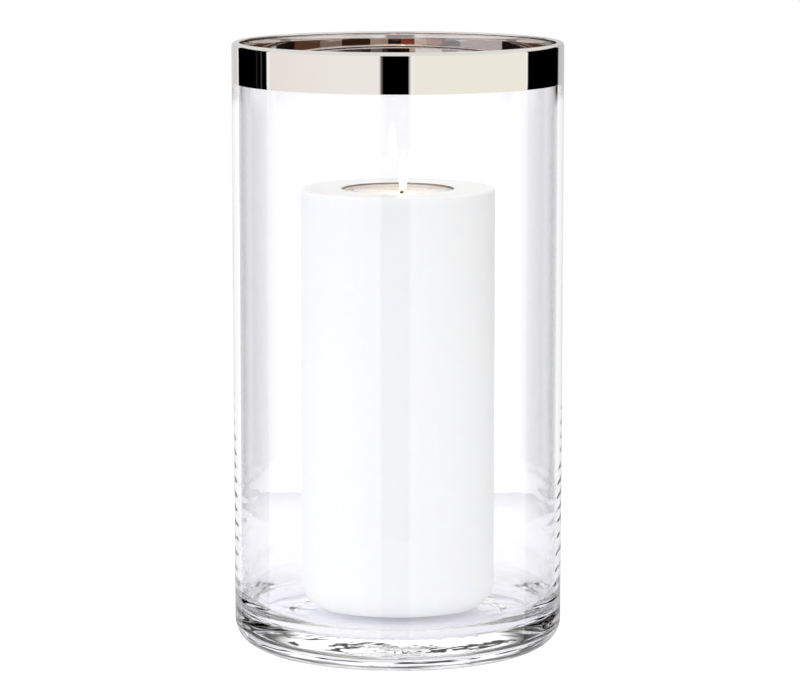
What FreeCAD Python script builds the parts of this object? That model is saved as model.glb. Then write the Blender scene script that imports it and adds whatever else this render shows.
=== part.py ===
"""Hurricane candle lantern: a blown glass cylinder with a platinum rim, and a reusable pillar candle inside it.

The glass stands on its own foot ring. The candle is a hollow moulded pillar that stands loose on the glass
floor. A lined pocket in its top holds a large replaceable tealight. Both lift straight out.

Frame: millimetres, +Z up, origin on the table at the centre of the glass foot.
Every turned piece is the revolution of an outline of (radius, height) corners, with rounded corners as arcs.
"""

import FreeCAD
import Part

import math
import os

# Hurricane glass
glass_diameter = 170.0
glass_height = 312.0
glass_wall = 4.0
glass_floor_height = 16.0
glass_foot_rounding = 13.0
glass_floor_fillet = 15.0
foot_ring_width = 14.0
foot_recess_depth = 2.0
foot_recess_rounding = 5.0

# Platinum film, which covers the outside of the rim and wraps over the lip, flush with the glass below it
rim_band_height = 20.5
rim_film_thickness = 0.3
rim_wrap_inside = 0.4

# Pillar candle shell
candle_diameter = 100.0
candle_height = 220.0
candle_wall = 3.0
candle_top_rounding = 1.2
candle_foot_rounding = 15.0
candle_opening_radius = 33.0
candle_rebate_radius = 34.0
candle_rebate_depth = 1.2
pocket_radius = 29.2
pocket_depth = 25.0
pocket_lip_rounding = 0.4

# Closing plug and pad under the candle
plug_clearance = 0.05
plug_thickness = 3.0
plug_skirt_height = 4.0
plug_skirt_width = 2.0
plug_bead_height = 1.6
plug_bead_reach = 0.6
pad_radius = 32.0
pad_thickness = 1.0

# Steel liner in the pocket
liner_clearance = 0.2
liner_thickness = 0.5
liner_below_top = 0.3
liner_corner = 2.0

# Tealight
cup_foot_radius = 27.2
cup_mouth_radius = 27.7
cup_height = 23.5
cup_thickness = 0.3
cup_corner = 1.5
cup_bead_radius = 0.4
wax_clearance = 0.02
wax_below_rim = 2.0
wax_meniscus = 0.7
wax_meniscus_width = 4.0
wick_radius = 1.0
wick_above_wax = 1.6
wick_lean = 2.4
sustainer_radius = 8.0
sustainer_thickness = 0.4
sustainer_neck_wall = 0.35
sustainer_neck_height = 6.0
sustainer_clearance = 0.03

# Places worked out from the sizes above
outer_radius = glass_diameter / 2
inner_radius = outer_radius - glass_wall
lip_radius = glass_wall / 2
film_outside_end = glass_height - rim_band_height
film_inside_end = glass_height - lip_radius - rim_wrap_inside
bare_lip_radius = lip_radius - rim_film_thickness
bare_outer_radius = outer_radius - rim_film_thickness
bare_inner_radius = inner_radius + rim_film_thickness
bare_height = glass_height - rim_film_thickness
candle_radius = candle_diameter / 2
candle_bottom = glass_floor_height + pad_thickness
candle_top = candle_bottom + candle_height
pocket_floor = candle_top - pocket_depth
liner_radius = pocket_radius - liner_clearance
cup_bottom = pocket_floor + liner_thickness
cup_top = cup_bottom + cup_height
wax_bottom = cup_bottom + cup_thickness
wax_top = cup_top - wax_below_rim
wick_bottom = wax_bottom + sustainer_thickness
wick_top = wax_top + wick_above_wax
neck_top = wick_bottom + sustainer_neck_height

SAME_POINT = 1e-6


def vector(radius, height):
    """A point of an outline, which lies in the XZ plane."""
    return FreeCAD.Vector(radius, 0, height)


def rounded_corner(before, corner, after, rounding):
    """Start, middle and end of the arc that rounds a corner."""
    to_before = (before - corner).normalize()
    to_after = (after - corner).normalize()
    half_angle = to_before.getAngle(to_after) / 2
    reach = rounding / math.tan(half_angle)
    bisector = (to_before + to_after).normalize()
    centre = corner + bisector * (rounding / math.sin(half_angle))
    return corner + to_before * reach, centre - bisector * rounding, corner + to_after * reach


def outline_edges(corners):
    """Lines and arcs of a closed outline. A corner is (radius, height) or (radius, height, rounding)."""
    points = [vector(*corner[:2]) for corner in corners]
    count = len(corners)
    edges, starts, ends = [], [], []
    for index, corner in enumerate(corners):
        if len(corner) == 2:
            starts.append(points[index])
            ends.append(points[index])
            continue
        start, middle, end = rounded_corner(
            points[index - 1], points[index], points[(index + 1) % count], corner[2]
        )
        edges.append(Part.Arc(start, middle, end).toShape())
        starts.append(start)
        ends.append(end)
    for index in range(count):
        line_start, line_end = ends[index], starts[(index + 1) % count]
        if line_start.distanceToPoint(line_end) > SAME_POINT:
            edges.append(Part.LineSegment(line_start, line_end).toShape())
    return edges


def turned(corners):
    """The solid made by turning an outline about the vertical axis."""
    wire = Part.Wire(Part.__sortEdges__(outline_edges(corners)))
    solid = Part.Face(wire).revolve(FreeCAD.Vector(0, 0, 0), FreeCAD.Vector(0, 0, 1), 360)
    if solid.Volume < 0:
        solid.reverse()
    return solid


def hurricane_glass():
    """Cylinder with a rounded lip, a thick floor and a foot ring around a shallow recess."""
    ring_outside = outer_radius - glass_foot_rounding
    ring_inside = ring_outside - foot_ring_width
    return turned([
        (0, foot_recess_depth),
        (ring_inside - foot_recess_rounding, foot_recess_depth, foot_recess_rounding),
        (ring_inside, 0),
        (outer_radius, 0, glass_foot_rounding),
        (outer_radius, film_outside_end),
        (bare_outer_radius, film_outside_end),
        (bare_outer_radius, bare_height, bare_lip_radius),
        (bare_inner_radius, bare_height, bare_lip_radius),
        (bare_inner_radius, film_inside_end),
        (inner_radius, film_inside_end),
        (inner_radius, glass_floor_height, glass_floor_fillet),
        (0, glass_floor_height),
    ])


def platinum_rim():
    """Film let into the glass: up the outside, over the lip and a little way down the inside."""
    return turned([
        (bare_outer_radius, film_outside_end),
        (outer_radius, film_outside_end),
        (outer_radius, glass_height, lip_radius),
        (inner_radius, glass_height, lip_radius),
        (inner_radius, film_inside_end),
        (bare_inner_radius, film_inside_end),
        (bare_inner_radius, bare_height, bare_lip_radius),
        (bare_outer_radius, bare_height, bare_lip_radius),
    ])


def candle_shell():
    """Hollow pillar, open underneath, with the tealight pocket moulded into its top."""
    inside_radius = candle_radius - candle_wall
    well_radius = pocket_radius + candle_wall
    return turned([
        (0, pocket_floor),
        (pocket_radius, pocket_floor),
        (pocket_radius, candle_top, pocket_lip_rounding),
        (candle_radius, candle_top, candle_top_rounding),
        (candle_radius, candle_bottom, candle_foot_rounding),
        (candle_rebate_radius, candle_bottom),
        (candle_rebate_radius, candle_bottom + candle_rebate_depth),
        (candle_opening_radius, candle_bottom + candle_rebate_depth),
        (candle_opening_radius, candle_bottom + candle_wall),
        (inside_radius, candle_bottom + candle_wall, candle_foot_rounding - candle_wall),
        (inside_radius, candle_top - candle_wall),
        (well_radius, candle_top - candle_wall),
        (well_radius, pocket_floor - candle_wall),
        (0, pocket_floor - candle_wall),
    ])


def candle_base_plug():
    """Disc let into a rebate under the candle. A bead on its skirt snaps over the edge of the opening."""
    flange_radius = candle_rebate_radius - plug_clearance
    flange_top = candle_bottom + candle_rebate_depth
    plug_radius = candle_opening_radius - plug_clearance
    bead_radius = candle_opening_radius + plug_bead_reach
    bead_foot = candle_bottom + candle_wall + plug_clearance
    skirt_inside = plug_radius - plug_skirt_width
    skirt_top = candle_bottom + plug_thickness + plug_skirt_height
    return turned([
        (0, candle_bottom),
        (flange_radius, candle_bottom),
        (flange_radius, flange_top),
        (plug_radius, flange_top),
        (plug_radius, bead_foot),
        (bead_radius, bead_foot),
        (plug_radius, bead_foot + plug_bead_height),
        (plug_radius, skirt_top),
        (skirt_inside, skirt_top),
        (skirt_inside, candle_bottom + plug_thickness),
        (0, candle_bottom + plug_thickness),
    ])


def felt_pad():
    """Disc under the plug that keeps the candle from scratching the glass."""
    pad = Part.makeCylinder(pad_radius, pad_thickness)
    pad.translate(FreeCAD.Vector(0, 0, glass_floor_height))
    return pad


def pocket_liner():
    """Drawn steel cup that keeps the heat of the tealight off the shell."""
    liner_inside = liner_radius - liner_thickness
    liner_top = candle_top - liner_below_top
    return turned([
        (0, pocket_floor),
        (liner_radius, pocket_floor, liner_corner),
        (liner_radius, liner_top),
        (liner_inside, liner_top),
        (liner_inside, pocket_floor + liner_thickness, liner_corner - liner_thickness),
        (0, pocket_floor + liner_thickness),
    ])


def tealight_cup():
    """Pressed aluminium cup, a little wider at its mouth, with a rolled bead around the rim."""
    bead_centre = cup_top - cup_bead_radius
    body = turned([
        (0, cup_bottom),
        (cup_foot_radius, cup_bottom, cup_corner),
        (cup_mouth_radius, bead_centre),
        (cup_mouth_radius - cup_thickness, bead_centre),
        (cup_foot_radius - cup_thickness, cup_bottom + cup_thickness, cup_corner - cup_thickness),
        (0, cup_bottom + cup_thickness),
    ])
    bead = Part.makeTorus(cup_mouth_radius, cup_bead_radius)
    bead.translate(FreeCAD.Vector(0, 0, bead_centre))
    return body.fuse(bead)


def wick():
    """Braided wick: upright in the neck of its sustainer, then bending over by wick_lean at its tip."""
    bend_height = wick_top - neck_top
    bend_radius = (bend_height**2 + wick_lean**2) / (2 * wick_lean)
    half_turn = math.asin(bend_height / bend_radius) / 2

    def on_bend(turn):
        """A point of the bend, as the angle turned since the wick left the upright."""
        return vector(bend_radius * (1 - math.cos(turn)), neck_top + bend_radius * math.sin(turn))

    foot = vector(0, wick_bottom)
    upright = Part.LineSegment(foot, on_bend(0)).toShape()
    bend = Part.Arc(on_bend(0), on_bend(half_turn), on_bend(2 * half_turn)).toShape()
    section = Part.Wire(Part.makeCircle(wick_radius, foot))
    return Part.Solid(Part.Wire([upright, bend]).makePipeShell([section], True, False))


def wick_sustainer():
    """Tinplate disc with a neck that grips the foot of the wick."""
    bore_radius = wick_radius + sustainer_clearance
    neck_radius = bore_radius + sustainer_neck_wall
    return turned([
        (0, wax_bottom),
        (sustainer_radius, wax_bottom),
        (sustainer_radius, wick_bottom),
        (neck_radius, wick_bottom),
        (neck_radius, neck_top),
        (bore_radius, neck_top),
        (bore_radius, wick_bottom),
        (0, wick_bottom),
    ])


def tealight_wax(wick_solid, sustainer_solid):
    """Wax fill with a raised edge where it meets the cup, cut around the wick and its sustainer."""
    foot_radius = cup_foot_radius - cup_thickness - wax_clearance
    mouth_share = (wax_top - cup_bottom) / cup_height
    mouth_radius = foot_radius + (cup_mouth_radius - cup_foot_radius) * mouth_share
    fill = turned([
        (0, wax_bottom),
        (foot_radius, wax_bottom, cup_corner),
        (mouth_radius, wax_top + wax_meniscus),
        (mouth_radius - wax_meniscus_width, wax_top, wax_meniscus_width),
        (0, wax_top),
    ])
    neck_radius = wick_radius + sustainer_clearance + sustainer_neck_wall
    neck_room = Part.makeCylinder(neck_radius, sustainer_neck_height)
    neck_room.translate(FreeCAD.Vector(0, 0, wick_bottom))
    return fill.cut(sustainer_solid).cut(neck_room).cut(wick_solid)


def export(name, shape):
    """Checks a piece and writes it to parts/NAME.step."""
    for solid in shape.Solids:
        if not solid.isValid() or solid.Volume <= 0:
            raise ValueError(f"{name} holds a solid that is not sound")
    shape.exportStep(os.path.join("parts", name + ".step"))


def main():
    os.makedirs("parts", exist_ok=True)
    wick_solid = wick()
    sustainer_solid = wick_sustainer()
    pieces = {
        "hurricane_glass": hurricane_glass(),
        "platinum_rim": platinum_rim(),
        "candle_shell": candle_shell(),
        "candle_base_plug": candle_base_plug(),
        "felt_pad": felt_pad(),
        "pocket_liner": pocket_liner(),
        "tealight_cup": tealight_cup(),
        "tealight_wax": tealight_wax(wick_solid, sustainer_solid),
        "wick": wick_solid,
        "wick_sustainer": sustainer_solid,
    }
    for name, shape in pieces.items():
        export(name, shape)


main()
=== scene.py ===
"""Hurricane candle lantern: glass cylinder with a platinum rim, white pillar candle and lit tealight."""

import math

import bpy
import numpy as np
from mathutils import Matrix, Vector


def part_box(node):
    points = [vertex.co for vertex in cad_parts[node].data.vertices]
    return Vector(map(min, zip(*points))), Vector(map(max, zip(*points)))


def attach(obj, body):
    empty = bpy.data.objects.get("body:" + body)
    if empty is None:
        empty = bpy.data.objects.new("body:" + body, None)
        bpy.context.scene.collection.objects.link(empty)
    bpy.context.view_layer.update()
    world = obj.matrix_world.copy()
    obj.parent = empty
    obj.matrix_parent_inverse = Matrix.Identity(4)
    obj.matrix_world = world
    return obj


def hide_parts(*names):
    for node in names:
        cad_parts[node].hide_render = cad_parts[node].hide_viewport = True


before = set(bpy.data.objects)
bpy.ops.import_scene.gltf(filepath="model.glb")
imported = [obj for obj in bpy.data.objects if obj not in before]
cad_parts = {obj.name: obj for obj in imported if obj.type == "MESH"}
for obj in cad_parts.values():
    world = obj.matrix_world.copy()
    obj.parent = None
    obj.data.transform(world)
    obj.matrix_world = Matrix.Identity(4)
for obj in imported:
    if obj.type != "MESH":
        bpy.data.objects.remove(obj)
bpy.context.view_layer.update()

MM = 0.001
TURN = 2 * math.pi
rng = np.random.default_rng(7)


# ---------------------------------------------------------------- sizes read from the CAD boxes

glass_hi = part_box("hurricane_glass")[1]
rim_lo, rim_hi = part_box("platinum_rim")
shell_lo, shell_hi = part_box("candle_shell")
plug_lo, plug_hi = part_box("candle_base_plug")
pad_lo, pad_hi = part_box("felt_pad")
liner_lo, liner_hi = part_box("pocket_liner")
cup_lo, cup_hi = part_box("tealight_cup")
wax_lo, wax_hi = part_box("tealight_wax")
wick_lo, wick_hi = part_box("wick")
sustainer_lo, sustainer_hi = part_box("wick_sustainer")

# Sizes that a box doesn't show, in metres
GLASS_WALL = 4 * MM
GLASS_FLOOR = pad_lo.z
FOOT_ROUNDING = 13 * MM
FLOOR_FILLET = 15 * MM
FOOT_RING = 14 * MM
FOOT_RING_ROUNDING = 2 * MM
FOOT_RECESS = 2 * MM
RECESS_ROUNDING = 5 * MM
LIP_INSIDE = 0.6 * MM
FILM = 0.16 * MM
FILM_INSIDE = 0.8 * MM
# How far the visible glass surface lies behind the film's
SINK = 0.07 * MM
# The wall stays straight up to this far below the lip, outside and inside
STRAIGHT_OUTSIDE = 2.2 * MM
STRAIGHT_INSIDE = 0.8 * MM
SHELL_WALL = 3 * MM
POCKET_RADIUS = 29.2 * MM
CANDLE_FOOT_ROUNDING = 15 * MM
OPENING_RADIUS = 33 * MM
REBATE_RADIUS = 34 * MM
REBATE_DEPTH = 1.2 * MM


# ---------------------------------------------------------------- turned shapes

ARC_STEP = math.radians(9)
SAME_POINT = 1e-7


def rounded(corners, spacing):
    """Points (radius, height) along an outline of corners, each of which may have a rounding.

    They are no further apart than spacing allows at their place.
    """
    points = []
    count = len(corners)
    for index, corner in enumerate(corners):
        here = np.array(corner[:2], float)
        if len(corner) == 2:
            points.append(here)
            continue
        before = np.array(corners[index - 1][:2], float) - here
        after = np.array(corners[(index + 1) % count][:2], float) - here
        before /= np.linalg.norm(before)
        after /= np.linalg.norm(after)
        half = math.acos(np.clip(before @ after, -1, 1)) / 2
        middle = (before + after) / np.linalg.norm(before + after)
        centre = here + middle * corner[2] / math.sin(half)
        start = here + before * corner[2] / math.tan(half) - centre
        end = here + after * corner[2] / math.tan(half) - centre
        sweep = math.pi - 2 * half
        turn = math.copysign(sweep, start[0] * end[1] - start[1] * end[0])
        steps = max(3, round(sweep / ARC_STEP))
        for step in range(steps + 1):
            angle = turn * step / steps
            across = np.array([-start[1], start[0]])
            points.append(centre + start * math.cos(angle) + across * math.sin(angle))
    filled = []
    for index, point in enumerate(points):
        following = points[(index + 1) % len(points)]
        filled.append(point)
        if point[0] < SAME_POINT and following[0] < SAME_POINT:
            continue
        gap = np.linalg.norm(following - point)
        pieces = math.ceil(gap / spacing((point + following) / 2))
        for step in range(1, pieces):
            filled.append(point + (following - point) * step / pieces)
    kept = [filled[0]]
    for before, point in zip(filled, filled[1:]):
        if np.linalg.norm(point - before) > SAME_POINT:
            kept.append(point)
    return np.array(kept)


def lathe(name, corners, segments=160, spacing=lambda point: 8 * MM, relief=None):
    """A mesh turned about Z. relief(along, angle, radius, height) is a shift along the outward normal."""
    outline = rounded(corners, spacing)
    r, z = outline[:, 0], outline[:, 1]
    if np.sum(r * np.roll(z, -1) - np.roll(r, -1) * z) < 0:
        outline = outline[::-1]
        r, z = outline[:, 0], outline[:, 1]
    tangent = np.roll(outline, -1, 0) - np.roll(outline, 1, 0)
    tangent /= np.maximum(np.linalg.norm(tangent, axis=1, keepdims=True), 1e-12)
    normal = np.column_stack([tangent[:, 1], -tangent[:, 0]])
    along = np.concatenate([[0], np.cumsum(np.linalg.norm(np.diff(outline, axis=0), axis=1))])
    angles = np.arange(segments) * TURN / segments
    shift = np.zeros((len(r), segments))
    if relief:
        shift = relief(along[:, None], angles[None, :], r[:, None], z[:, None])
    on_axis = r < SAME_POINT
    shift = np.where(on_axis[:, None], 0, shift)
    radius = r[:, None] + normal[:, :1] * shift
    height = z[:, None] + normal[:, 1:] * shift
    grid = np.stack([radius * np.cos(angles), radius * np.sin(angles), height + 0 * angles], axis=2)
    vertices, rows = [], []
    for index in range(len(r)):
        if on_axis[index]:
            rows.append([len(vertices)] * segments)
            vertices.append((0, 0, z[index]))
        else:
            rows.append(list(range(len(vertices), len(vertices) + segments)))
            vertices.extend(map(tuple, grid[index]))
    faces = []
    for index in range(len(r)):
        low, high = rows[index], rows[(index + 1) % len(r)]
        if on_axis[index] and on_axis[(index + 1) % len(r)]:
            continue
        for step in range(segments):
            following = (step + 1) % segments
            face = (low[step], low[following], high[following], high[step])
            faces.append(tuple(dict.fromkeys(face)))
    return mesh_object(name, vertices, faces)


def mesh_object(name, vertices, faces):
    mesh = bpy.data.meshes.new(name)
    mesh.from_pydata(vertices, [], faces)
    mesh.shade_smooth()
    made = bpy.data.objects.new(name, mesh)
    bpy.context.scene.collection.objects.link(made)
    return made


def fit(piece, material, body, slot, *nodes):
    """Paints a piece, fixes it to its CAD body and hides the CAD nodes it stands for."""
    piece.data.materials.append(material)
    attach(piece, body)
    if nodes:
        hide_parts(*nodes)
    return piece


def waves(count, wavelengths, slant, wander):
    """A seeded sum of wavy ripples over (distance along the outline, angle)."""
    terms = []
    for _ in range(count):
        terms.append((
            TURN / rng.uniform(*wavelengths), rng.integers(-slant, slant + 1), rng.uniform(0, TURN),
            rng.uniform(0.4, 1) * wander, rng.integers(2, 9), rng.uniform(0, TURN), rng.uniform(0.5, 1),
        ))

    def height(along, angle):
        total = 0
        for pitch, turns, phase, sway, sways, sway_phase, size in terms:
            bend = sway * np.sin(sways * angle + sway_phase)
            total = total + size * np.sin(pitch * along + turns * angle + phase + bend)
        return total / math.sqrt(count)

    return height


def ease(value, start, end):
    """0 at start, 1 at end, smooth between."""
    share = np.clip((value - start) / (end - start), 0, 1)
    return share * share * (3 - 2 * share)


# ---------------------------------------------------------------- materials

class Shader:
    """A material's node tree, with short ways to add and join nodes."""

    def __init__(self, name):
        self.material = bpy.data.materials.new(name)
        self.material.use_nodes = True
        self.nodes = self.material.node_tree.nodes
        self.links = self.material.node_tree.links
        self.surface = self.nodes["Principled BSDF"]
        self.output = self.nodes["Material Output"]

    def add(self, kind, **inputs):
        return add_node(self.nodes, self.links, kind, **inputs)

    def set(self, **inputs):
        join(self.links, self.surface, inputs)


def find_input(node, name):
    """A node's input by its name, with _ for a space, or by its place, as i0, i1 or i2."""
    if name[0] == "i" and name[1:].isdigit():
        return node.inputs[int(name[1:])]
    return node.inputs[name.replace("_", " ")]


def join(links, node, inputs):
    """Sets a node's inputs from values, from other nodes or from their sockets."""
    for name, value in inputs.items():
        socket = find_input(node, name)
        if isinstance(value, bpy.types.NodeSocket):
            links.new(value, socket)
        elif isinstance(value, bpy.types.Node):
            links.new(value.outputs[0], socket)
        else:
            socket.default_value = value


def add_node(nodes, links, kind, **inputs):
    """A new node. Names of its own settings are set on it; everything else is an input."""
    node = nodes.new(kind)
    for name in list(inputs):
        if name in node.bl_rna.properties:
            setattr(node, name, inputs.pop(name))
    join(links, node, inputs)
    return node


def ramp(shader, value, *stops, blend="EASE"):
    """A colour ramp of (position, grey or colour) stops."""
    node = shader.add("ShaderNodeValToRGB", Fac=value)
    elements = node.color_ramp.elements
    while len(elements) < len(stops):
        elements.new(0.5)
    for element, (position, colour) in zip(elements, stops):
        element.position = position
        element.color = (*colour, 1) if isinstance(colour, tuple) else (colour, colour, colour, 1)
    node.color_ramp.interpolation = blend
    return node


def math_node(shader, operation, *values):
    inputs = {f"i{place}": value for place, value in enumerate(values)}
    return shader.add("ShaderNodeMath", operation=operation, **inputs)


def vector_node(shader, operation, *values):
    inputs = {f"i{place}": value for place, value in enumerate(values)}
    return shader.add("ShaderNodeVectorMath", operation=operation, **inputs)


def mix(shader, share, first, second, blend="MIX"):
    """Colours from the first at share 0 to the second at share 1, or to their product with MULTIPLY."""
    return shader.add("ShaderNodeMixRGB", blend_type=blend, Fac=share, Color1=first, Color2=second)


def grain(shader, scale, detail=4.0, stretch=(1, 1, 1)):
    """Noise in the object's own space."""
    place = shader.add("ShaderNodeTexCoord")
    mapping = shader.add("ShaderNodeMapping", Vector=place.outputs["Object"], Scale=stretch)
    return shader.add("ShaderNodeTexNoise", Vector=mapping, Scale=scale, Detail=detail)


def height_in(shader, space):
    """Height in metres in Object space, or from 0 at the piece's foot to 1 at its top in Generated."""
    place = shader.add("ShaderNodeTexCoord")
    return shader.add("ShaderNodeSeparateXYZ", Vector=place.outputs[space]).outputs["Z"]


def bump(shader, height, strength, distance, **more):
    return shader.add("ShaderNodeBump", Height=height, Strength=strength, Distance=distance, **more)


def let_through(shader, share, surface, tint=(1, 1, 1, 1)):
    """Makes the material show its surface, with the given share of it replaced by plain transparency."""
    clear = shader.add("ShaderNodeBsdfTransparent", Color=tint)
    both = shader.add("ShaderNodeMixShader", i0=share, i1=surface, i2=clear)
    shader.links.new(both.outputs[0], shader.output.inputs["Surface"])


RINGS_UP_TO = 200 * MM


def glass_material():
    """Clear glass, faintly lavender edge on, with fine rings low down where its surface turns away.

    Shadow rays and diffuse rays go straight through with a slight tint, so it hardly dims the candle.
    """
    shader = Shader("clear glass")
    edge = shader.add("ShaderNodeLayerWeight", Blend=0.5)
    tint = ramp(shader, edge.outputs["Facing"], (0.0, (0.995, 0.995, 1.0)), (1.0, (0.975, 0.975, 0.995)))
    share_up = math_node(shader, "MULTIPLY", height_in(shader, "Object"), 1 / RINGS_UP_TO)
    low = ramp(shader, share_up, (0.0, 1.0), (0.15, 1.0), (0.85, 0.0))
    place = shader.add("ShaderNodeTexCoord")
    rings = shader.add(
        "ShaderNodeTexWave", wave_type="BANDS", bands_direction="Z", Vector=place.outputs["Object"],
        Scale=42.0, Distortion=6.0, Detail=2.0, Detail_Scale=0.5,
    )
    turned_away = ramp(shader, edge.outputs["Facing"], (0.5, 0.04), (0.78, 1.0))
    drawn = bump(shader, rings.outputs["Fac"], math_node(shader, "MULTIPLY", low, turned_away), 0.22 * MM)
    ripple = grain(shader, 28, 2, (1, 1, 0.35))
    waved = bump(shader, ripple, 0.03, 0.2 * MM, Normal=drawn)
    shader.set(Base_Color=tint, Roughness=0.0, IOR=1.5, Transmission_Weight=1.0, Normal=waved)
    path = shader.add("ShaderNodeLightPath")
    unseen = math_node(shader, "MAXIMUM", path.outputs["Is Shadow Ray"], path.outputs["Is Diffuse Ray"])
    let_through(shader, unseen, shader.surface, (0.97, 0.97, 0.985, 1))
    return shader.material


def platinum_material():
    """Mirror film, silvery outside and on the lip, and duller where it is seen through the glass."""
    shader = Shader("platinum film")
    geometry = shader.add("ShaderNodeNewGeometry")
    flat = vector_node(shader, "MULTIPLY", geometry.outputs["Position"], (1, 1, 0))
    outward = vector_node(shader, "NORMALIZE", flat)
    facing = vector_node(shader, "DOT_PRODUCT", outward, geometry.outputs["Normal"])
    side = shader.add("ShaderNodeMapRange", Value=facing.outputs["Value"], From_Min=-0.5, From_Max=0.0)
    reach = vector_node(shader, "LENGTH", flat)
    on_lip = math_node(shader, "LESS_THAN", reach.outputs["Value"], rim_hi.x - GLASS_WALL / 2)
    bright = math_node(shader, "MAXIMUM", side, on_lip)
    colour = ramp(shader, bright, (0.0, (0.8, 0.75, 0.71)), (1.0, (0.93, 0.905, 0.87)))
    smear = grain(shader, 60, 3, (1, 1, 4))
    rough = ramp(shader, smear, (0.35, 0.0), (0.75, 0.012))
    shader.set(Base_Color=colour, Metallic=1.0, Roughness=rough)
    return shader.material


def shell_material():
    """White moulded candle body with a waxy depth, faint upright streaks and a soft sheen."""
    shader = Shader("candle shell")
    streaks = grain(shader, 30, 3, (1, 1, 0.03))
    mottle = grain(shader, 55, 5)
    colour = ramp(shader, streaks, (0.3, (0.9, 0.895, 0.885)), (0.7, (0.925, 0.925, 0.92)))
    shader.set(
        Base_Color=colour, Roughness=ramp(shader, mottle, (0.3, 0.38), (0.7, 0.5)),
        Subsurface_Weight=0.35, Subsurface_Radius=(1.0, 0.7, 0.5), Subsurface_Scale=6 * MM,
        Specular_IOR_Level=0.35, Normal=bump(shader, mottle, 0.15, 0.15 * MM),
    )
    return shader.material


def plain_material(name, dark, light, roughness, scale, relief=0.2, metallic=0.0, stretch=(1, 1, 1), **more):
    """Noise drives the colour between two tones, the roughness between two values, and the bump."""
    shader = Shader(name)
    texture = grain(shader, scale, 5, stretch)
    shader.set(
        Base_Color=ramp(shader, texture, (0.3, dark), (0.7, light)),
        Roughness=ramp(shader, texture, (0.3, roughness[0]), (0.7, roughness[1])),
        Metallic=metallic, Normal=bump(shader, texture, relief, 0.15 * MM), **more,
    )
    return shader.material


def wick_material():
    """Cotton, charred from just above the wax to the tip."""
    shader = Shader("wick cotton")
    char = shader.add(
        "ShaderNodeMapRange", Value=height_in(shader, "Object"),
        From_Min=wax_hi.z - 0.5 * MM, From_Max=wick_hi.z - 1.5 * MM,
    )
    cotton, charred, tip = (0.62, 0.55, 0.42), (0.03, 0.02, 0.015), (0.012, 0.01, 0.01)
    shader.set(
        Base_Color=ramp(shader, char, (0.0, cotton), (0.6, charred), (1.0, tip)),
        Roughness=0.9, Normal=bump(shader, grain(shader, 900, 4), 0.6, 0.2 * MM),
    )
    return shader.material


def flame_material():
    """Glowing gas: pale amber at the wick, near white above, thinner towards its edge."""
    shader = Shader("flame")
    flicker = math_node(shader, "MULTIPLY", grain(shader, 120, 2), 0.08)
    wavering = math_node(shader, "ADD", height_in(shader, "Generated"), flicker)
    amber, yellow, white, cream = (1.0, 0.62, 0.28), (1.0, 0.86, 0.6), (1.0, 0.97, 0.9), (1.0, 0.93, 0.78)
    colour = ramp(shader, wavering, (0.0, amber), (0.2, yellow), (0.5, white), (1.0, cream))
    strength = ramp(shader, wavering, (0.0, 0.25), (0.35, 1.0), (1.0, 0.8))
    glow = math_node(shader, "MULTIPLY", strength, 5.0)
    light = shader.add("ShaderNodeEmission", Color=colour, Strength=glow)
    edge = shader.add("ShaderNodeLayerWeight", Blend=0.35)
    thin = ramp(shader, edge.outputs["Facing"], (0.55, 0.0), (1.0, 0.85))
    hollow = ramp(shader, wavering, (0.0, 0.97), (0.1, 0.85), (0.24, 0.0))
    let_through(shader, math_node(shader, "MAXIMUM", thin, hollow), light)
    shader.nodes.remove(shader.surface)
    return shader.material


def plug_material():
    return plain_material("plug plastic", (0.8, 0.79, 0.76), (0.88, 0.87, 0.85), (0.4, 0.55), 120)


def felt_material():
    return plain_material(
        "felt", (0.55, 0.54, 0.51), (0.86, 0.85, 0.82), (0.9, 1.0), 1400, relief=0.9, Sheen_Weight=0.4,
    )


def painted_shade_steel_material():
    """Drawn steel whose dark, warm colour is painted shade and painted flame light, as it is inside the
    pocket.
    """
    return plain_material(
        "liner steel with painted shade", (0.3, 0.21, 0.17), (0.46, 0.36, 0.3), (0.25, 0.4), 60,
        metallic=1.0, stretch=(1, 1, 14),
    )


def painted_glow_aluminium_material():
    # The cup's warm peach tint is painted flame light.
    return plain_material(
        "cup aluminium", (0.93, 0.87, 0.83), (0.98, 0.94, 0.91), (0.45, 0.55), 90, relief=0.15,
        metallic=1.0, stretch=(1, 1, 5),
    )


def painted_glow_wax_material():
    # The wax's peach tint is painted flame light.
    return plain_material(
        "tealight wax", (0.84, 0.76, 0.7), (0.9, 0.84, 0.79), (0.25, 0.4), 140, relief=0.12,
        Subsurface_Weight=0.5, Subsurface_Radius=(1.0, 0.6, 0.35), Subsurface_Scale=5 * MM,
    )


def tinplate_material():
    return plain_material("tinplate", (0.5, 0.49, 0.47), (0.72, 0.71, 0.69), (0.25, 0.45), 200, metallic=1.0)


# ---------------------------------------------------------------- pieces

RIPPLES_UP_TO = 130 * MM


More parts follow.
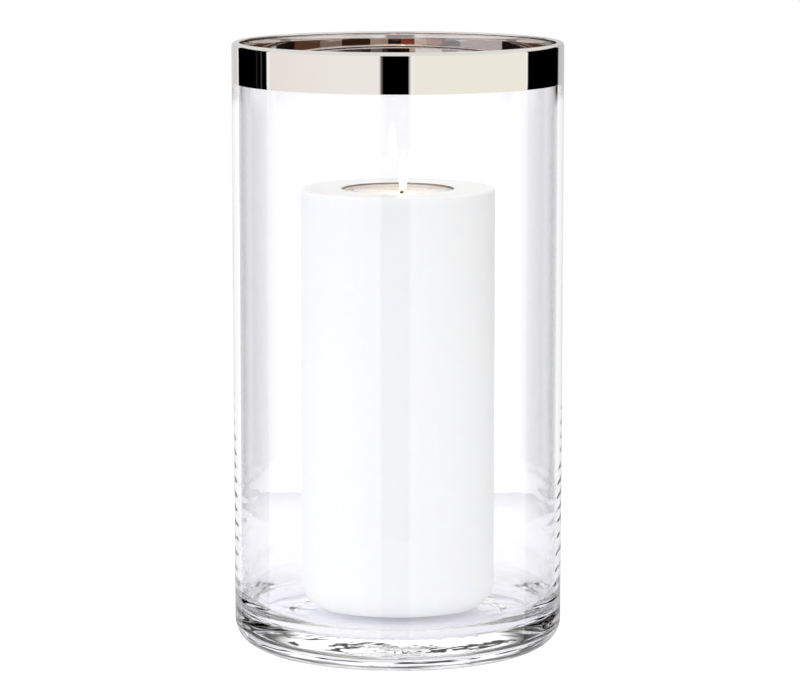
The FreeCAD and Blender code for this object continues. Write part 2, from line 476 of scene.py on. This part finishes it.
def make_glass():
    """Thick-footed cylinder. Its wall is rippled low down and its underside all over, as blown glass is."""
    outer, inner = glass_hi.x - SINK, glass_hi.x - GLASS_WALL + SINK
    ring_outside = outer - FOOT_ROUNDING
    ring_inside = ring_outside - FOOT_RING
    top = rim_hi.z - SINK
    lip = GLASS_WALL / 2 - 1.5 * SINK
    low_wall = waves(9, (5 * MM, 10 * MM), 2, 1.4)
    high_wall = waves(5, (60 * MM, 160 * MM), 3, 1.0)
    underside = waves(12, (4 * MM, 8 * MM), 4, 3.2)

    def relief(along, angle, radius, height):
        outside = radius > inner + GLASS_WALL / 2
        low = 1 - ease(height, 15 * MM, RIPPLES_UP_TO)
        wall = low * low * 0.025 * MM * low_wall(along, angle) + 0.015 * MM * high_wall(along, angle)
        below = (height < FOOT_ROUNDING) & (radius < outer - 1 * MM)
        foot = 0.045 * MM * underside(along, angle)
        blend = ease(height, 1 * MM, FOOT_ROUNDING)
        under = np.where(below, foot * (1 - blend) + wall * blend, wall)
        inside = 0.01 * MM * high_wall(along * 2, angle + 1)
        return np.where(outside | below, under, inside) * (height < rim_lo.z - 2 * MM)

    def spacing(point):
        if point[1] > RIPPLES_UP_TO + 5 * MM:
            return 7 * MM
        rippled = point[0] > inner + 1 * MM or point[1] < FOOT_ROUNDING
        return 1.6 * MM if rippled else 3.5 * MM

    return lathe("glass_cylinder", [
        (0, FOOT_RECESS), (ring_inside - RECESS_ROUNDING, FOOT_RECESS, RECESS_ROUNDING),
        (ring_inside, 0, FOOT_RING_ROUNDING), (outer, 0, FOOT_ROUNDING),
        (outer, top - STRAIGHT_OUTSIDE), (outer, top, lip),
        (inner, top, LIP_INSIDE - 1.5 * SINK), (inner, top - STRAIGHT_INSIDE),
        (inner, GLASS_FLOOR, FLOOR_FILLET), (0, GLASS_FLOOR),
    ], 320, spacing, relief)


def make_rim():
    """The film: it covers the outside of the rim, goes over the lip and ends just inside it."""
    outer, inner, top = rim_hi.x, rim_hi.x - GLASS_WALL, rim_hi.z
    lip = GLASS_WALL / 2 - 0.01 * MM

    def spacing(point):
        return 0.5 * MM if point[1] > top - 4 * MM else 2.5 * MM

    return lathe("platinum_band", [
        (outer - FILM, rim_lo.z), (outer, rim_lo.z, 0.1 * MM), (outer, top, lip), (inner, top, LIP_INSIDE),
        (inner, top - FILM_INSIDE), (inner + FILM, top - FILM_INSIDE),
        (inner + FILM, top - FILM, LIP_INSIDE - FILM), (outer - FILM, top - FILM, lip - FILM),
    ], 320, spacing)


def make_shell():
    """Hollow pillar with the pocket in its top. The moulding leaves it faintly uneven."""
    outer, top, foot = shell_hi.x, shell_hi.z, shell_lo.z
    inside = outer - SHELL_WALL
    well = POCKET_RADIUS + SHELL_WALL
    pocket_floor = liner_lo.z
    dents = waves(6, (25 * MM, 90 * MM), 4, 0.8)

    def relief(along, angle, radius, height):
        return np.where(radius > inside + 1 * MM, 0.06 * MM * dents(along, angle), 0)

    return lathe("pillar_candle_shell", [
        (0, pocket_floor), (POCKET_RADIUS, pocket_floor, 0.5 * MM), (POCKET_RADIUS, top, 0.4 * MM),
        (outer, top, 1.2 * MM), (outer, foot, CANDLE_FOOT_ROUNDING),
        (REBATE_RADIUS, foot), (REBATE_RADIUS, foot + REBATE_DEPTH),
        (OPENING_RADIUS, foot + REBATE_DEPTH), (OPENING_RADIUS, foot + SHELL_WALL),
        (inside, foot + SHELL_WALL, CANDLE_FOOT_ROUNDING - SHELL_WALL), (inside, top - SHELL_WALL),
        (well, top - SHELL_WALL), (well, pocket_floor - SHELL_WALL), (0, pocket_floor - SHELL_WALL),
    ], 220, lambda point: 6 * MM, relief)


def make_plug():
    """Snap-in disc with a beaded skirt and moulded rings underneath."""
    foot = plug_lo.z
    disc_top = foot + 3 * MM
    skirt_top = plug_hi.z
    gap = 0.05 * MM
    flange, skirt = REBATE_RADIUS - gap, OPENING_RADIUS - gap
    skirt_inside = skirt - 2 * MM
    bead_start, bead_crest, bead_end = foot + 3.05 * MM, foot + 3.1 * MM, foot + 4.6 * MM
    bead = plug_hi.x - 0.2 * MM
    rings_reach, ring_pitch = 29 * MM, 6 * MM

    def relief(along, angle, radius, height):
        ringed = (height < foot + 0.1 * MM) & (radius < rings_reach)
        return np.where(ringed, -0.15 * MM * (1 + np.cos(radius * TURN / ring_pitch)), 0)

    return lathe("candle_plug", [
        (0, foot), (flange, foot, 0.2 * MM), (flange, foot + REBATE_DEPTH - gap),
        (skirt, foot + REBATE_DEPTH), (skirt, bead_start), (bead, bead_crest), (skirt, bead_end),
        (skirt, skirt_top, 0.3 * MM), (skirt_inside, skirt_top, 0.3 * MM), (skirt_inside, disc_top),
        (0, disc_top),
    ], 160, lambda point: 1 * MM, relief)


def make_pad():
    """Felt disc with a soft, slightly frayed edge."""
    fray = waves(8, (1.5 * MM, 4 * MM), 60, 0.6)

    def relief(along, angle, radius, height):
        return 0.1 * MM * fray(along, angle) * ease(radius, pad_hi.x - 6 * MM, pad_hi.x) - 0.08 * MM

    return lathe("felt_foot", [
        (0, pad_lo.z), (pad_hi.x, pad_lo.z, 0.3 * MM), (pad_hi.x, pad_hi.z, 0.3 * MM), (0, pad_hi.z),
    ], 240, lambda point: 2 * MM, relief)


def make_liner():
    """Thin drawn cup with a slightly flared edge."""
    wall = 0.5 * MM
    outer = liner_hi.x
    return lathe("steel_liner", [
        (0, liner_lo.z), (outer, liner_lo.z, 2 * MM), (outer, liner_hi.z, 0.2 * MM),
        (outer - wall, liner_hi.z, 0.2 * MM), (outer - wall, liner_lo.z + wall, 1.5 * MM),
        (0, liner_lo.z + wall),
    ], 200, lambda point: 4 * MM)


def make_cup():
    """Pressed aluminium cup with fine upright flutes and a rolled rim."""
    wall = 0.3 * MM
    mouth = cup_hi.x - 0.4 * MM
    foot = mouth - 0.5 * MM
    bead = 0.4 * MM
    flutes = 72

    def relief(along, angle, radius, height):
        started = ease(height, cup_lo.z + 2 * MM, cup_lo.z + 5 * MM)
        ended = ease(height, cup_hi.z - 4 * MM, cup_hi.z - 2 * MM)
        side = np.where(radius > foot - wall / 2, 1, -1)
        depth = 0.1 * MM * side * started * (1 - ended)
        return np.where(radius > foot - 1 * MM, -depth * (1 + np.cos(flutes * angle)) / 2, 0)

    under_bead = cup_hi.z - 2 * bead
    return lathe("aluminium_cup", [
        (0, cup_lo.z), (foot, cup_lo.z, 1.5 * MM), (mouth, under_bead), (mouth + bead, under_bead, 0.3 * MM),
        (mouth + bead, cup_hi.z, 0.38 * MM), (mouth - bead, cup_hi.z, 0.38 * MM),
        (mouth - bead, under_bead, 0.1 * MM), (foot - wall, cup_lo.z + wall, 1.2 * MM), (0, cup_lo.z + wall),
    ], 432, lambda point: 2.5 * MM, relief)


def make_wax():
    """Wax fill: a shallow melted dish round the wick, rising to the cup at its edge."""
    foot = wax_hi.x - 0.5 * MM
    surface = wax_hi.z - 0.7 * MM
    uneven = waves(7, (5 * MM, 16 * MM), 4, 1.0)

    def relief(along, angle, radius, height):
        top = ease(height, surface - 1.2 * MM, surface - 0.2 * MM)
        melted = 1 - ease(radius, 9 * MM, 13 * MM)
        still = ease(radius, 12 * MM, 16 * MM) * 0.06 * MM * uneven(along, angle)
        return top * (still - 0.35 * MM * melted)

    return lathe("wax_fill", [
        (0, wax_lo.z), (foot, wax_lo.z, 1.5 * MM), (wax_hi.x - 0.05 * MM, wax_hi.z),
        (wax_hi.x - 3 * MM, surface, 4 * MM), (0, surface),
    ], 160, lambda point: 1.2 * MM, relief)


def make_sustainer():
    """Stamped disc with a raised neck round the wick."""
    disc = sustainer_hi.x
    bore, neck = 0.88 * MM, 1.23 * MM
    floor = sustainer_lo.z
    top = floor + 0.4 * MM
    return lathe("wick_clip", [
        (0, floor), (disc, floor, 0.15 * MM), (disc, top, 0.15 * MM), (neck, top, 0.6 * MM),
        (neck, sustainer_hi.z, 0.1 * MM), (bore, sustainer_hi.z, 0.1 * MM), (bore, top), (0, top),
    ], 96, lambda point: 1.5 * MM)


def make_wick():
    """Three-strand braid that stands up and then bends over at its tip."""
    strands, sides, rings = 3, 36, 110
    radius = wick_hi.y
    bend_from = sustainer_hi.z
    lean = wick_hi.x - radius
    top = wick_hi.z - 0.3 * MM
    vertices = []
    for ring in range(rings + 1):
        share = ring / rings
        z = wick_lo.z + (top - wick_lo.z) * share
        over = max(0.0, (z - bend_from) / (wick_hi.z - bend_from))
        tip = 1 - 0.55 * max(0.0, (share - 0.97) / 0.03) ** 2
        for side in range(sides):
            angle = TURN * side / sides
            twist = TURN * z / (5 * MM)
            lobe = abs(math.cos((angle * strands + twist) / 2))
            plait = abs(math.sin((angle * strands - twist) / 2))
            reach = radius * tip * (0.78 + 0.2 * max(lobe, plait))
            vertices.append((lean * over**2 + reach * math.cos(angle), reach * math.sin(angle), z))
    faces = [tuple(range(sides - 1, -1, -1)), tuple(range(rings * sides, (rings + 1) * sides))]
    for ring in range(rings):
        for side in range(sides):
            following = (side + 1) % sides
            faces.append((
                ring * sides + side, ring * sides + following,
                (ring + 1) * sides + following, (ring + 1) * sides + side,
            ))
    return mesh_object("braided_wick", vertices, faces)


FLAME_FOOT = wick_hi.z - 2 * MM
FLAME_HEIGHT = 22.5 * MM
# Times the outline's formula, which peaks at 0.4, this makes the flame 4.2 mm across
FLAME_BREADTH = 5.265 * MM
FLAME_LEAN = 0.5 * MM


def make_flame():
    """Teardrop round the tip of the wick, leaning a little as it rises."""
    centre = wick_hi.x - wick_hi.y
    sides, rings = 40, 60

    def place(share):
        return centre + FLAME_LEAN * math.sin(share * 2.6), FLAME_FOOT + FLAME_HEIGHT * share

    vertices = [(centre, 0, FLAME_FOOT)]
    for ring in range(1, rings):
        share = ring / rings
        reach = FLAME_BREADTH * share ** 0.55 * (1 - share) ** 0.8
        x, z = place(share)
        for side in range(sides):
            angle = TURN * side / sides
            vertices.append((x + reach * math.cos(angle), reach * math.sin(angle), z))
    x, z = place(1)
    vertices.append((x, 0, z))
    faces = []
    last = len(vertices) - 1
    for side in range(sides):
        following = (side + 1) % sides
        faces.append((0, 1 + following, 1 + side))
        for ring in range(rings - 2):
            low, high = 1 + ring * sides, 1 + (ring + 1) * sides
            faces.append((low + side, low + following, high + following, high + side))
        top = 1 + (rings - 2) * sides
        faces.append((top + side, top + following, last))
    return mesh_object("flame", vertices, faces)


def make_flame_light():
    """A weak lamp in the flame, seen only by the light it casts."""
    lamp = bpy.data.lights.new("flame light", "POINT")
    lamp.energy = 0.05
    lamp.color = (1.0, 0.72, 0.45)
    lamp.shadow_soft_size = 2.5 * MM
    made = bpy.data.objects.new("flame_light", lamp)
    made.location = (wick_hi.x - wick_hi.y, 0, FLAME_FOOT + FLAME_HEIGHT * 0.4)
    made.visible_glossy = False
    made.visible_transmission = False
    made.visible_camera = False
    bpy.context.scene.collection.objects.link(made)
    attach(made, "tealight")


def make_pieces():
    fit(make_glass(), glass_material(), "glass", "clear_glass", "hurricane_glass")
    fit(make_rim(), platinum_material(), "glass", "platinum", "platinum_rim")
    fit(make_shell(), shell_material(), "candle", "ivory_shell", "candle_shell")
    fit(make_plug(), plug_material(), "candle", "plug_plastic", "candle_base_plug")
    fit(make_pad(), felt_material(), "candle", "felt", "felt_pad")
    fit(make_liner(), painted_shade_steel_material(), "candle", "liner_steel", "pocket_liner")
    fit(make_cup(), painted_glow_aluminium_material(), "tealight", "cup_aluminium", "tealight_cup")
    fit(make_wax(), painted_glow_wax_material(), "tealight", "wax", "tealight_wax")
    fit(make_sustainer(), tinplate_material(), "tealight", "tinplate", "wick_sustainer")
    fit(make_wick(), wick_material(), "tealight", "wick_cotton", "wick")
    # The flame stands for no CAD node
    fit(make_flame(), flame_material(), "tealight", "wax")
    make_flame_light()


# ---------------------------------------------------------------- studio

# How many dark strips would fit from straight down to straight up, and how far they wander
STRIPS = 13.0
STRIP_WANDER = 1.5
# The rise that parts the two rows of tiles inside the rim, too fine for a ramp's 256 steps
ROW_EDGE = 0.46734


class World(Shader):
    """The world's node tree, with a material's short ways to add and join nodes."""

    def __init__(self):
        world = bpy.data.worlds.new("studio")
        bpy.context.scene.world = world
        world.use_nodes = True
        self.nodes = world.node_tree.nodes
        self.links = world.node_tree.links
        self.background = self.nodes["Background"]


def around(studio, bearing, stops, blend="LINEAR"):
    """A ramp over the compass bearing from the camera's side, in degrees, positive to the right."""
    return ramp(studio, bearing, *[(degrees / 360 + 0.5, colour) for degrees, colour in stops], blend=blend)


def upward(studio, rise, *stops):
    """A ramp over the rise: 0 is straight down, 0.5 is level and 1 is straight up."""
    return ramp(studio, rise, *stops, blend="LINEAR")


def soft_boxes(studio, bearing, rise):
    """Pale boxes with dark gaps all round and a plain pale sky, for mirrors to reflect."""
    black, left, near_left, cream = 0.0, (0.84, 0.81, 0.77), (0.89, 0.865, 0.85), (0.89, 0.88, 0.8)
    boxes = around(studio, bearing, [
        (-180, 0.72), (-147, 0.66), (-146, 0.95), (-144.5, 0.95), (-144, black), (-114, black),
        (-113.4, 0.12), (-112.8, black), (-108.5, black), (-108, 0.12), (-107.4, black), (-102, black),
        (-101.5, 1.0), (-100.2, 1.0), (-99, left), (-40, near_left), (-12.5, near_left), (-11, black),
        (8, black), (8.6, 1.0), (9.6, 1.0), (10.2, cream), (60, cream), (99, cream), (99.5, 1.0),
        (100.5, 1.0), (101, black), (146, black), (147.5, 0.55), (180, 0.62),
    ])
    sky = upward(studio, rise, (0.0, 0.0), (0.62, 0.0), (0.68, 1.0), (1.0, 1.0))
    return mix(studio, sky, boxes, (0.78, 0.77, 0.76, 1))


def first_tiles(studio, bearing):
    """The patches seen inside the rim after one bounce off its film."""
    return around(studio, bearing, [
        (-180, 1.15), (-146, 0.01), (-128, (1.0, 0.92, 0.85)), (-97, 0.0), (-86, (0.6, 0.55, 0.5)),
        (-58, (0.72, 0.7, 0.68)), (-45, (0.42, 0.4, 0.42)), (-33, (0.82, 0.8, 0.82)), (-14, (0.5, 0.36, 0.3)),
        (-9, 0.0), (10, (0.13, 0.12, 0.12)), (19, (0.03, 0.015, 0.01)), (26, (0.07, 0.05, 0.05)),
        (33, (0.02, 0.012, 0.01)), (43, (0.18, 0.15, 0.14)), (53, (0.35, 0.33, 0.3)),
        (64, (0.22, 0.19, 0.14)), (78, 0.0), (95, (0.09, 0.03, 0.02)), (120, (0.3, 0.25, 0.2)),
        (140, 0.0), (150, 1.15),
    ], "CONSTANT")


def second_tiles(studio, bearing, rise):
    """The two rows of patches seen inside the rim after two bounces off its film."""
    upper = around(studio, bearing, [
        (-180, (0.2, 0.09, 0.06)), (-168, (0.62, 0.55, 0.5)), (-141, (0.05, 0.02, 0.012)),
        (-99, (0.72, 0.62, 0.52)), (-21, 0.0), (18, (1.05, 1.1, 1.25)), (110, (0.5, 0.44, 0.46)),
        (139, (0.95, 0.95, 1.05)), (156, (0.2, 0.09, 0.06)),
    ], "CONSTANT")
    lower = around(studio, bearing, [
        (-180, 0.01), (-166, (0.5, 0.38, 0.33)), (-141, (0.03, 0.012, 0.008)), (-99, (0.3, 0.24, 0.22)),
        (-65, (0.13, 0.06, 0.04)), (-21, 0.0), (18, (0.75, 0.74, 0.78)), (88, (0.4, 0.42, 0.46)),
        (116, (0.68, 0.55, 0.54)), (139, (0.85, 0.72, 0.66)), (156, (0.3, 0.06, 0.03)), (175, 0.0),
    ], "CONSTANT")
    return mix(studio, math_node(studio, "LESS_THAN", rise, ROW_EDGE), upper, lower)


def inside_the_glass(studio, bearing, rise, bounces):
    """What mirrors show to rays that went into the glass: tiles near level, plainer above and below."""
    plain = around(studio, bearing, [
        (-180, 1.12), (-150, 1.12), (-140, 0.02), (-112, 0.02), (-102, 0.9), (-13, 0.9), (-11, 0.3),
        (8, 0.3), (10, 0.9), (102, 0.85), (112, 0.02), (140, 0.02), (150, 1.12), (180, 1.12),
    ])
    under_lip = around(studio, bearing, [
        (-180, (0.8, 0.78, 0.8)), (-60, (0.8, 0.78, 0.8)), (-59, (0.45, 0.4, 0.38)), (-20, (0.7, 0.68, 0.7)),
        (-2, (0.1, 0.06, 0.04)), (40, (0.5, 0.42, 0.35)), (60, (0.06, 0.03, 0.02)), (180, (0.1, 0.06, 0.04)),
    ], "CONSTANT")
    falling = upward(studio, rise, (0.0, 1.0), (0.375, 1.0), (0.385, 0.0), (1.0, 0.0))
    off_level = mix(studio, falling, plain, under_lip)
    twice = math_node(studio, "GREATER_THAN", bounces, 1.5)
    often = math_node(studio, "GREATER_THAN", bounces, 2.5)
    few = mix(studio, twice, first_tiles(studio, bearing), second_tiles(studio, bearing, rise))
    tiles = mix(studio, often, few, (0.12, 0.07, 0.05, 1))
    level = upward(studio, rise, (0.0, 0.0), (0.457, 0.0), (0.459, 1.0), (0.51, 1.0), (0.53, 0.0))
    return mix(studio, level, off_level, tiles)


def dark_strips(studio, direction, rise):
    """Thin dark strips one above another, uneven round the room."""
    uneven = studio.add("ShaderNodeTexNoise", Vector=direction, Scale=4.0, Detail=1.0)
    wander = math_node(studio, "MULTIPLY", uneven, STRIP_WANDER)
    strip = math_node(studio, "FRACT", math_node(studio, "MULTIPLY_ADD", rise, STRIPS, wander))
    return upward(studio, strip, (0.0, 1.0), (0.72, 1.0), (0.76, 0.03), (0.94, 0.03), (0.98, 1.0))


def room_light(studio, bearing, rise):
    """What lights the matt surfaces: bright from the left and above, dim from behind on the right."""
    sides = around(studio, bearing, [
        (-180, (1.12, 1.12, 1.13)), (-100, (1.18, 1.18, 1.19)), (-20, (1.17, 1.17, 1.17)), (-8, 1.1),
        (6, 1.09), (20, (1.12, 1.1, 1.07)), (80, (0.92, 0.9, 0.85)), (125, (0.5, 0.48, 0.45)),
        (180, (0.95, 0.95, 0.94)),
    ])
    above = upward(studio, rise, (0.0, 1.0), (0.8, 1.0), (0.92, 1.6), (1.0, 1.6))
    return mix(studio, 1.0, sides, above, "MULTIPLY")


def make_studio():
    """A world that shows something else to each kind of ray.

    The camera sees white. Matt surfaces get the room's light. Rays straight through the glass see a
    pale sweep, with strips above level. Mirrors see soft boxes, or tiles and strips by way of the glass.
    """
    studio = World()
    direction = studio.add("ShaderNodeTexCoord").outputs["Generated"]
    parts = studio.add("ShaderNodeSeparateXYZ", Vector=direction)
    towards_camera = math_node(studio, "MULTIPLY", parts.outputs["Y"], -1.0)
    turn = math_node(studio, "ARCTAN2", parts.outputs["X"], towards_camera)
    bearing = math_node(studio, "MULTIPLY_ADD", turn, 1 / TURN, 0.5)
    rise = math_node(studio, "MULTIPLY_ADD", parts.outputs["Z"], 0.5, 0.5)
    path = studio.add("ShaderNodeLightPath")
    bounces = path.outputs["Glossy Depth"]
    strips = dark_strips(studio, direction, rise)

    within = inside_the_glass(studio, bearing, rise, bounces)
    high = upward(studio, rise, (0.0, 0.0), (0.54, 0.0), (0.55, 1.0), (0.92, 1.0), (0.95, 0.0))
    striped = mix(studio, high, within, strips, "MULTIPLY")
    by_the_glass = math_node(studio, "GREATER_THAN", path.outputs["Transmission Depth"], 1.5)
    all_round = mix(studio, by_the_glass, soft_boxes(studio, bearing, rise), striped)
    below = upward(studio, rise, (0.0, 1.0), (0.12, 1.0), (0.25, 0.0), (1.0, 0.0))
    mirrored = mix(studio, below, all_round, (0.7, 0.7, 0.7, 1))

    high_up = upward(studio, rise, (0.0, 0.0), (0.53, 0.0), (0.54, 1.0), (0.92, 1.0), (0.95, 0.0))
    sweep = upward(studio, rise, (0.0, (1.0, 1.0, 1.03)), (0.4, (1.08, 1.08, 1.1)), (1.0, (1.08, 1.08, 1.1)))
    through = mix(studio, high_up, sweep, strips, "MULTIPLY")

    glossy = path.outputs["Is Glossy Ray"]
    bounced = math_node(studio, "GREATER_THAN", bounces, 0.5)
    reflected = math_node(studio, "MULTIPLY", glossy, bounced)
    unreflected = mix(studio, glossy, room_light(studio, bearing, rise), through)
    indirect = mix(studio, reflected, unreflected, mirrored)
    seen = mix(studio, path.outputs["Is Camera Ray"], indirect, (1, 1, 1, 1))
    join(studio.links, studio.background, {"Color": seen})


FLOOR_RADIUS = 0.42
FLOOR_THICKNESS = 2 * MM
FLOOR_TOP = -0.6 * MM


def make_floor():
    """A plain pale round table. Through the glass it shows a shade greyer than the white behind it."""
    shader = Shader("studio floor")
    path = shader.add("ShaderNodeLightPath")
    bare = ramp(shader, grain(shader, 15, 3), (0.3, 0.94), (0.7, 0.95))
    tinted = mix(shader, path.outputs["Is Transmission Ray"], bare, (0.82, 0.82, 0.855, 1))
    lift = math_node(shader, "MULTIPLY", path.outputs["Is Camera Ray"], 0.12)
    shader.set(
        Base_Color=tinted, Roughness=0.9, Specular_IOR_Level=0.0,
        Emission_Color=(1, 1, 1, 1), Emission_Strength=lift,
    )
    floor = lathe("studio_floor", [
        (0, FLOOR_TOP - FLOOR_THICKNESS), (FLOOR_RADIUS, FLOOR_TOP - FLOOR_THICKNESS),
        (FLOOR_RADIUS, FLOOR_TOP), (0, FLOOR_TOP),
    ], 128, lambda point: 0.1)
    floor.data.materials.append(shader.material)
    floor.visible_glossy = False


CAMERA_PLACE = (0, -1.864, 0.435)
CAMERA_DIP = math.radians(8.53)


def make_camera():
    """A long lens from in front, slightly above, looking a little down."""
    lens = bpy.data.cameras.new("studio camera")
    lens.lens = 164
    lens.sensor_width = 36
    lens.shift_x = 0.0027
    camera = bpy.data.objects.new("studio_camera", lens)
    camera.location = CAMERA_PLACE
    camera.rotation_euler = (math.radians(90) - CAMERA_DIP, 0, 0)
    bpy.context.scene.collection.objects.link(camera)
    bpy.context.scene.camera = camera


def set_light_paths():
    """Enough bounces for rays that cross the glass wall many times, and plain colours."""
    scene = bpy.context.scene
    scene.view_settings.view_transform = "Standard"
    scene.cycles.max_bounces = 40
    scene.cycles.transmission_bounces = 32
    scene.cycles.glossy_bounces = 32
    scene.cycles.transparent_max_bounces = 16


make_pieces()
make_studio()
make_floor()
make_camera()
set_light_paths()
